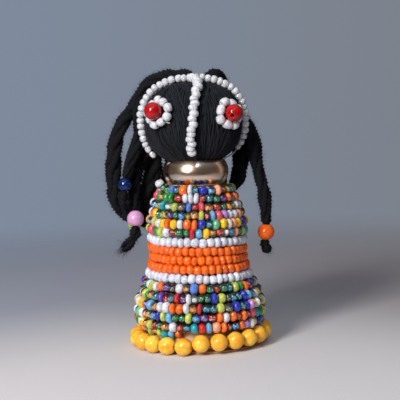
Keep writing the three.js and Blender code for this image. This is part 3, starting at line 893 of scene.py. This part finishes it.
def stringOnHead(name, route, sizes, replaced, loose=()):
    count, seed = sizes["count"], sizes["seed"]
    dice = np.random.default_rng(seed)
    places, ways, radii, lengths = layBeads(route, count, sizes["radius"], faceBeads["variety"], dice)
    aside = unit(np.cross(ways, places - upwards * head["middle"]))
    places = places + aside * (sizes.get("zigzag", 0.0) * (-1) ** np.arange(count))[:, None]
    places = places + dice.uniform(-faceBeads["scatter"], faceBeads["scatter"], (count, 3))
    orders = np.arange(count), np.arange(count)[::-1]  # from each end
    for order, slimmest, taper in zip(orders, sizes.get("ends", (1, 1)), faceBeads["taper"]):
        radii *= np.interp(order, [0, taper], [slimmest, 1])
    colours = shadedColours(faceBeads["colour"], count, faceBeads["shade"], dice)
    laid = (places, ways, radii, lengths * sizes.get("stretch", faceBeads["stretch"]))
    threads = joined([tubed(way, faceBeads["threadRadius"], threadSides) for way in (route, *loose)])
    mesh = stringBeads(pressedShape, laid, colours, np.zeros(count), threads, faceBeads["tilt"], seed)
    addPiece(name, mesh, "white_beads", [replaced])


def roundBead(sizes, place, axis):  # a ball with a bore along an axis
    radius, bore = sizes["radius"], sizes["bore"]
    profile = beadProfile(radius, bore, math.sqrt(radius ** 2 - bore ** 2), 1.0, ball["steps"])
    return placed(lathed(profile, ball["sides"]), place, axis)


def makeHairline():
    angles = np.linspace(hairline["from"], hairline["to"], hairline["steps"])
    sweep = (np.sin(np.radians(angles / 2)) / math.sin(math.radians(hairline["to"] / 2))) ** 2
    y = hairline["topY"] + (np.where(angles < 0, *hairline["endY"]) - hairline["topY"]) * sweep
    slant = y / (head["halfWidth"] + hairline["lift"])
    towards = np.stack([np.sin(np.radians(angles)), slant, np.cos(np.radians(angles))], -1)
    route = onHead(towards, hairline["lift"])
    tail = smoothRoute([route[-1], *hairline["tail"]])
    stringOnHead("hairline", route, hairline, "hairline_beads", [tail])


def makeNose():
    down = np.linspace(nose["angles"][-1], nose["angles"][0], nose["steps"])
    angles, lean = np.radians(down), np.interp(down, nose["angles"], nose["leans"])
    route = onHead(np.stack([lean, -np.cos(angles), np.sin(angles)], -1), nose["lift"])
    stringOnHead("nose", route, nose, "nose_beads")


def makeEye(eye):
    outwards = direction(eye["azimuth"], eye["elevation"])
    side = unit(np.cross(upwards, outwards))
    up = np.cross(outwards, side)
    middle = onHead(outwards) - upwards * head["middle"]
    turns = np.linspace(0, 2 * np.pi, flower["steps"])
    around = np.cos(turns)[:, None] * side + np.sin(turns)[:, None] * up
    route = onHead(middle + around * flower["ringRadius"], flower["lift"])
    name = eye["name"] + "_eye"
    loose = [smoothRoute(eye["end"])] if "end" in eye else []
    petals = {**flower, "count": eye["petals"], "seed": eye["seed"]}
    stringOnHead(name + "_petals", route, petals, name + "_flower", loose)
    bead = roundBead(eyeBead, onHead(outwards, eyeBead["lift"]), direction(*eye["bore"]))
    addPiece(name, bead, "red_round_beads", [name + "_bead"], plastics["red"])


makeHairline()
makeNose()
for eye in eyes:
    makeEye(eye)
print("face done")


# Wool locks

locks = [  # root and leave are azimuth and elevation on the head, and the rest are points
    {"name": "left_outer", "root": (168, 72), "leave": (-166, 70), "lift": [1.4, 3.1],
     "hang": [(-4.4, 8.2, 93), (-8.2, 9.6, 94), (-12.2, 10.2, 92.8), (-16.2, 10.6, 90),
              (-18.8, 10.8, 86.8), (-20.6, 10.6, 84), (-22.8, 9.6, 81), (-25.4, 7.2, 77),
              (-27.6, 5.4, 71.3), (-28.7, 4.6, 64), (-28.8, 4.8, 57), (-28.2, 5.2, 51.5),
              (-26.2, 5.8, 47.7)],
     "bead": (-22.2, 6.8, 41.9), "beadRadius": 2.45, "tail": [(-21.6, 8.4, 38.4), (-22, 9, 36.6)],
     "girth": [1.2, 2.9, 2.3, 2.8, 2.6, 2.5, 2.4, 2.5, 2.6, 2.7, 2.8, 2.8, 2.9, 2.9, 2.5], "knot": 1.6,
     "colour": "lime"},
    {"name": "left_middle", "root": (-110, 68), "leave": (-104, 19), "lift": [1.8, 4, 4.5, 4.5, 3.7],
     "hang": [(-18.9, 5.2, 79), (-19.2, 5.6, 73), (-21.2, 4, 67.3), (-23.3, 1.6, 61.8)],
     "bead": (-24.6, 0.2, 56.4), "beadRadius": 2.5, "tail": [(-25.3, 0.1, 52), (-24.6, 1, 48)],
     "girth": [1.3, 2.4, 2.4, 2.4, 2.3, 2.2, 2.2, 2.2, 1.6], "knot": 2.2, "colour": "blue"},
    {"name": "left_inner", "root": (-122, -12), "leave": (-118, -26), "lift": [1.6, 2.6],
     "hang": [(-17.8, 8.6, 66), (-20.4, 7.2, 61.5), (-21.6, 5.6, 56), (-21.9, 4.6, 51.5)],
     "bead": (-21.4, 0.8, 44.3), "tail": [(-21.8, 0.2, 39), (-23.4, 0.2, 36.3), (-26.4, 0, 33.5)],
     "girth": [1.2, 2.2, 2.4, 2.4, 2.3, 2.1], "knot": 1.95, "colour": "lilac", "fray": 1.0},
    {"name": "left_back", "root": (-150, 22), "leave": (-140, -14), "lift": [2, 3],
     "hang": [(-14.2, 13.4, 67), (-14.7, 12.4, 61.8), (-16.1, 11.6, 56.8), (-17.4, 10.8, 51.9),
              (-18.3, 10.4, 46.9), (-18.8, 10.6, 40.4)],
     "girth": [1.2, 2.3, 2.7, 2.9, 3.2, 3.2, 3.1, 2.8, 1.3]},
    {"name": "back_left", "root": (-170, 34), "leave": (-162, -16), "lift": [2, 2.8],
     "hang": [(-8, 18, 66), (-9.6, 17.8, 60.5), (-11.4, 17.6, 54)],
     "bead": (-12.6, 18, 46), "tail": [(-12.8, 18.6, 41.4), (-13.2, 18.8, 38.4)],
     "girth": [1.2, 2.1, 2.2, 2.2, 2.1, 1.5], "knot": 1.7, "colour": "yellow"},
    {"name": "back_middle", "root": (176, 46), "leave": (178, -20), "lift": [2, 2.6],
     "hang": [(0.8, 18.4, 66), (1.2, 18.2, 58)],
     "bead": (1.4, 20.4, 45), "tail": [(1.4, 21, 40.4), (1.2, 21.3, 37.4)],
     "girth": [1.2, 2.1, 2.3, 2.3, 2.2, 1.5], "knot": 1.7, "colour": "red"},
    {"name": "back_right", "root": (158, 34), "leave": (156, -16), "lift": [2, 2.6],
     "hang": [(8.4, 17.4, 66), (9.4, 16.4, 59)],
     "bead": (10.4, 17.6, 49), "tail": [(10.8, 18, 44.4), (10.8, 18.6, 41.4)],
     "girth": [1.2, 2.1, 2.2, 2.2, 2.1, 1.5], "knot": 1.7, "colour": "blue"},
    {"name": "right_inner", "root": (139, 6), "leave": (130, -12), "lift": [2, 3.4],
     "hang": [(16.2, 10.8, 68), (16.5, 10, 63.9), (16, 9.7, 60.3), (15.1, 9.9, 56.8), (12.9, 10.8, 52.8)],
     "girth": [1.2, 2.6, 3, 3.1, 3, 2.9, 2.6, 1.4]},
    {"name": "right_outer", "root": (147, 65), "leave": (120, 60), "lift": [1.3, 3.2],
     "hang": [(9.8, 8, 91.8), (12.2, 11.2, 88.2), (14.8, 12, 83.8), (17, 10.6, 79.3), (19.1, 7.8, 75),
              (20.7, 5.6, 70.5), (21.3, 4.7, 66), (21.8, 4.2, 62), (22.8, 4, 57.6), (24, 4, 51.5),
              (24.5, 4, 44.5)],
     "bead": (24.4, 4, 37.7), "tail": [(23.8, 4, 33.8), (25.1, 4, 30.4)],
     "girth": [1.2, 2.8, 2.4, 2.3, 2.3, 2.3, 2.4, 2.6, 2.8, 2.6, 2, 2.2, 2.4, 2.2, 1.7], "knot": 1.8,
     "colour": "orange"},
]
onHeadStep = 16  # how many degrees apart the points are where a lock lies on the head
yarn = {
    "plies": 4,
    "plyShare": 0.6,  # a ply's radius, as a share of the lock's
    "spread": 0.5,  # how far a ply's middle lies from the lock's, as a share of its radius
    "lay": 34.0,  # the length in which the plies go once round
    "plyLay": 5.0,
    "section": {"Points": 4, "Inner Radius": 0.78, "Outer Radius": 1.05, "Twist": 0.0},
    "step": 0.55,
    "wander": 0.35,
    "waver": 2.4,  # how far the cloud turns the plies
    "thickness": (0.8, 0.4),  # at the cloud's darkest, and what its brightest adds
    "cloud": {"Scale": 180.0, "Detail": 2.0},
    "cloudShifts": (0.07, 0.13),  # from ply to ply, and from lock to lock
    "fuzz": 1.2,  # hairs on a square millimetre
    "seed": 50,
}
hair = {
    "length": 1.9,
    "thickness": 0.045,
    "thickAtRoot": 1.15,
    "bend": 0.25,
    "points": 5,
    "sides": 3,
    "along": 0.4,  # how much it lies along the ply
    "lean": 0.75,
    "sizes": (0.45, 1.2),
}
fraying = {  # what changes towards the cut end, over a length
    "length": 4,
    "amount": 0.25,
    "apart": 0.9,
    "thinner": 0.4,
    "moreHairs": 3,
    "lessUpright": 0.8,
    "moreAlong": 1.4,
    "longer": 0.9,
}
lockBead = {"radius": 2.98, "bore": 1.15, "within": 0.18, "neckDown": 0.9, "widenShare": 0.6,
            "yarnInBore": 0.95, "around": 0.2}
knotShape = [0.78, 1.02, 0.72, 1.08, 0.8, 0.45]  # shares of a knot's radius, down the tail


def lockRoute(lock):  # the points of a lock's middle, and the length up to its bead
    start, end = direction(*lock["root"]), direction(*lock["leave"])
    steps = max(1, round(math.degrees(math.acos(np.dot(start, end))) / onHeadStep))
    shares = np.linspace(0, 1, steps + 1)
    lifts = np.interp(shares, np.linspace(0, 1, len(lock["lift"])), lock["lift"])
    onto = onHead(start + (end - start) * shares[:, None], lifts)
    beaded = [lock["bead"], *lock["tail"]] if "bead" in lock else []
    points = np.array([*onto, *lock["hang"], *beaded])
    route = smoothRoute(points)
    if not beaded:
        return route, None
    return route, reachAlong(route)[(len(points) - 1 - len(lock["tail"])) * stretchSteps]


def lockGirths(lock, reach, atBead):  # the lock's radius at each length along it
    if atBead is None:
        return np.interp(reach, np.linspace(0, reach[-1], len(lock["girth"])), lock["girth"])
    clear = lock.get("beadRadius", lockBead["radius"]) - lockBead["within"]
    narrow = lockBead["neckDown"]
    above = np.linspace(0, atBead - clear - narrow, len(lock["girth"]))
    bore = [atBead - clear, atBead + clear]
    below = np.linspace(atBead + clear + narrow * lockBead["widenShare"], reach[-1], len(knotShape))
    inBore = lockBead["yarnInBore"]
    girths = [*lock["girth"], inBore, inBore, *(lock["knot"] * np.array(knotShape))]
    return np.interp(reach, [*above, *bore, *below], girths)


def hairShape():  # one bent hair, a metre long
    share = np.linspace(0, 1, hair["points"])
    route = np.stack([hair["bend"] * share ** 2, 0 * share, share], -1)
    thick = hair["thickness"] / hair["length"] / 2 * (hair["thickAtRoot"] - share)
    mesh = tubed(route, thick, hair["sides"])
    mesh.transform(Matrix.Scale(1 / mm, 4))
    return newObject("helper", mesh)


def lockTree():  # plies of wool wound round a path, and loose hairs on them
    board, given = newTree("woolLock", {
        "Int": ["Plies", "Seed"],
        "Float": ["Ply share", "Spread", "Lay", "Ply lay", "Step", "Wander", "Fuzz", "Hair length"],
        "Object": ["Hair"],
        "Material": ["Material"],
    })
    curve = board.add("GeometryNodeMeshToCurve", {"Mesh": given})
    curve = board.add("GeometryNodeResampleCurve", {"Curve": curve, "Length": given["Step"]}, mode="LENGTH")
    plies = board.add("GeometryNodeDuplicateElements", {"Geometry": curve, "Amount": given["Plies"]},
                      domain="SPLINE")
    which = plies["Duplicate Index"]
    reach = board.add("GeometryNodeSplineParameter", output="Length")
    girth = board.attribute("girth")
    seed = given["Seed"]
    place = board.add("GeometryNodeInputPosition")
    plyShift, lockShift = yarn["cloudShifts"]
    apart = board.add("ShaderNodeCombineXYZ", {"X": which * plyShift, "Y": seed * lockShift})
    cloud = board.add("ShaderNodeTexNoise", {"Vector": board.vector("ADD", place, apart), **yarn["cloud"]})
    turn = which / given["Plies"] * (2 * math.pi) + reach * (2 * math.pi) / given["Lay"]
    turn = turn + cloud * yarn["waver"]
    across = board.add("GeometryNodeInputNormal")
    way = board.add("GeometryNodeInputTangent")
    aside = board.vector("CROSS_PRODUCT", way, across)
    fray = board.attribute("fray")
    out = girth * given["Spread"] * (1 + fray * fraying["apart"])
    offset = board.vector("ADD", board.scaled(across, turn.maths("COSINE", turn) * out),
                          board.scaled(aside, turn.maths("SINE", turn) * out))
    drift = board.vector("SUBTRACT", cloud["Color"], (0.5, 0.5, 0.5))
    offset = board.vector("ADD", offset, board.scaled(drift, given["Wander"]))
    plies = board.add("GeometryNodeSetPosition", {"Geometry": plies, "Offset": offset})
    kept = {"Geometry": plies, "Name": "woolWay", "Value": way}
    plies = board.add("GeometryNodeStoreNamedAttribute", kept, data_type="FLOAT_VECTOR", domain="POINT")
    twist = reach * (2 * math.pi) / given["Ply lay"]
    plies = board.add("GeometryNodeSetCurveTilt", {"Curve": plies, "Tilt": twist})
    section = board.add("GeometryNodeCurveStar", yarn["section"])
    least, more = yarn["thickness"]
    thickness = girth * given["Ply share"] * (least + cloud * more) * (1 - fray * fraying["thinner"])
    wool = board.add("GeometryNodeCurveToMesh", {
        "Curve": plies, "Profile Curve": section, "Scale": thickness, "Fill Caps": True,
    })
    hairs = board.add("GeometryNodeDistributePointsOnFaces", {
        "Mesh": wool, "Density": given["Fuzz"] * (1 + fray * fraying["moreHairs"]), "Seed": seed,
    })
    lean = board.scaled(board.random((-1, -1, -1), (1, 1, 1), seed + 1), hair["lean"])
    stand = board.scaled(hairs["Normal"], 1 - fray * fraying["lessUpright"])
    along = hair["along"] + fray * fraying["moreAlong"]
    flow = board.scaled(board.attribute("woolWay", "FLOAT_VECTOR"), along)
    towards = board.vector("ADD", board.vector("ADD", stand, flow), lean)
    size = board.random(*hair["sizes"], seed + 3) * given["Hair length"] * (1 + fray * fraying["longer"])
    hairs = board.add("GeometryNodeInstanceOnPoints", {
        "Points": hairs, "Instance": meshGiven(board, given, "Hair"),
        "Rotation": turnedAlong(board, towards, seed + 2), "Scale": size,
    })
    whole = board.add("GeometryNodeJoinGeometry", {"Geometry": [wool, hairs]})
    board.add("NodeGroupOutput", {"Geometry": endTree(board, whole, given["Material"])})
    return board


woolLock = lockTree()
hairOfWool = hairShape()


def makeLock(lock, seed):
    route, atBead = lockRoute(lock)
    reach = reachAlong(route)
    girths = lockGirths(lock, reach, atBead)
    fray = easeBetween(reach, reach[-1] - fraying["length"], reach[-1])
    fray *= lock.get("fray", fraying["amount"])
    edges = [(i, i + 1) for i in range(len(route) - 1)]
    path = meshOf(route, edges, girth=girths * mm, fray=fray)
    mesh = runTree(woolLock, path, {
        "Plies": yarn["plies"], "Ply share": yarn["plyShare"], "Spread": yarn["spread"],
        "Lay": yarn["lay"] * mm, "Ply lay": yarn["plyLay"] * mm, "Step": yarn["step"] * mm,
        "Wander": yarn["wander"] * mm, "Fuzz": yarn["fuzz"] / mm ** 2, "Hair": hairOfWool,
        "Hair length": hair["length"] * mm, "Seed": seed, "Material": lockWool,
    })
    name = lock["name"]
    addPiece(name + "_wool", mesh, "black_wool", [name + "_lock"])
    print(name, "lock,", round(reach[-1], 1), "mm long,", len(mesh.polygons), "faces")
    if atBead is None:
        return
    before, after = pointsAt(route, [atBead - lockBead["around"], atBead + lockBead["around"]])
    sizes = {**lockBead, "radius": lock.get("beadRadius", lockBead["radius"])}
    bead = roundBead(sizes, lock["bead"], after - before)
    slots = {"blue": "blue_round_beads", "red": "red_round_beads", "yellow": "yellow_round_beads"}
    slot = slots.get(lock["colour"], lock["colour"] + "_round_bead")
    addPiece(name + "_bead", bead, slot, [name + "_lock_bead"], plastics[lock["colour"]])


for number, lock in enumerate(locks):
    makeLock(lock, yarn["seed"] + number)
for shape in (seedShape, pressedShape, roundShape, hairOfWool):
    bpy.data.objects.remove(shape)
print("locks done")


# Studio

lamps = [
    {"name": "key", "azimuth": -32, "elevation": 26, "distance": 620, "size": (150, 260), "power": 4.3,
     "colour": "#FFFAF4"},
    {"name": "window", "azimuth": 2, "elevation": 47, "distance": 800, "size": (200, 160), "power": 0.6,
     "colour": "#DDE8FF"},
    {"name": "wall", "azimuth": 100, "elevation": 6, "distance": 420, "size": (110, 560), "power": 0.08,
     "colour": "#E8C6B0"},
]
lampAim = (0, 0, 45)


def makeLamp(lamp):
    data = bpy.data.lights.new(lamp["name"], "AREA")
    data.shape = "RECTANGLE"
    data.size, data.size_y = (length * mm for length in lamp["size"])
    data.energy = lamp["power"]
    data.color = colourOf(lamp["colour"])[:3]
    light = newObject(lamp["name"], data)
    away = Vector(direction(lamp["azimuth"], lamp["elevation"]).tolist())
    light.location = Vector(lampAim) * mm + away * lamp["distance"] * mm
    light.rotation_euler = away.to_track_quat("Z", "Y").to_euler()


floor = {
    "radius": 700,
    "sides": 96,
    "height": -0.02,
    "poolMiddle": (0, -66, 0),  # the pale pool of light in front of the doll
    "pool": (55, 175),
    "fade": (230, 520),
    "front": (-135, -175),  # where it fades out towards the camera
    "left": -90,
    "right": 70,
    "pale": "#D6D5D9",
    "farLeft": "#A4AABA",
    "farRight": "#A5A1A6",
}


def makeFloor():
    material, board = newMaterial("paleFloor")
    place = board.add("ShaderNodeTexCoord", output="Object")
    middle = tuple(length * mm for length in floor["poolMiddle"])
    away = board.vector("DISTANCE", place, middle)["Value"]
    across = board.parts(place)
    pool, fade, front = (
        board.eased(value, floor[name][0] * mm, floor[name][1] * mm)
        for name, value in (("pool", away), ("fade", away), ("front", across["Y"]))
    )
    aside = board.spread(across, floor["left"] * mm, floor["right"] * mm)
    far = board.mixed(aside, floor["farLeft"], floor["farRight"])
    matt = board.add("ShaderNodeBsdfPrincipled", {
        # the pool of light is painted into the floor's colour: pale near the doll, darker further away
        "Base Color": board.mixed(pool, floor["pale"], far),
        "Roughness": 0.9,
        "Specular IOR Level": 0.1,
        "Normal": bumped(board, noise(board, 1600, 5), 0.45, 0.15),
    })
    clear = board.add("ShaderNodeBsdfTransparent")
    gone = fade.maths("MAXIMUM", fade, front)
    surface = board.add("ShaderNodeMixShader", {0: gone, 1: matt, 2: clear})
    board.add("ShaderNodeOutputMaterial", {"Surface": surface})
    disc = placed(lathed([(0, 0), (floor["radius"], 0)], floor["sides"]), (0, 0, floor["height"]))
    disc.materials.append(material)
    ground = newObject("floor", disc)


backdrop = {"left": "#7F8B9E", "right": "#7C828C", "reach": 0.2}
skyColours = {0.42: "#3C342E", 0.52: "#5C4C41", 0.66: "#46413D", 0.86: "#6C6D70", 1.0: "#C8CCD4"}


def makeWorld():
    world = bpy.data.worlds.new("studio")
    bpy.context.scene.world = world
    world.use_nodes = True
    world.node_tree.nodes.clear()
    board = Board(world.node_tree)
    way = board.add("ShaderNodeTexCoord", output="Generated")
    across = board.parts(way)
    aside = board.spread(across, -backdrop["reach"], backdrop["reach"])
    behind = board.mixed(aside, backdrop["left"], backdrop["right"])
    shown = board.add("ShaderNodeBackground", {"Color": behind, "Strength": 1.0})
    stops = [(place, colourOf(code)) for place, code in skyColours.items()]
    sky = board.add("ShaderNodeValToRGB", {"Fac": across["Z"] * 0.5 + 0.5}, stops=stops)
    ambient = board.add("ShaderNodeBackground", {"Color": sky, "Strength": 1.0})
    seen = board.add("ShaderNodeLightPath", output="Is Camera Ray")
    both = board.add("ShaderNodeMixShader", {0: seen, 1: ambient, 2: shown})
    board.add("ShaderNodeOutputWorld", {"Surface": both})
    bpy.context.scene.view_settings.view_transform = "Standard"


for lamp in lamps:
    makeLamp(lamp)
makeFloor()
makeWorld()
print("studio done")
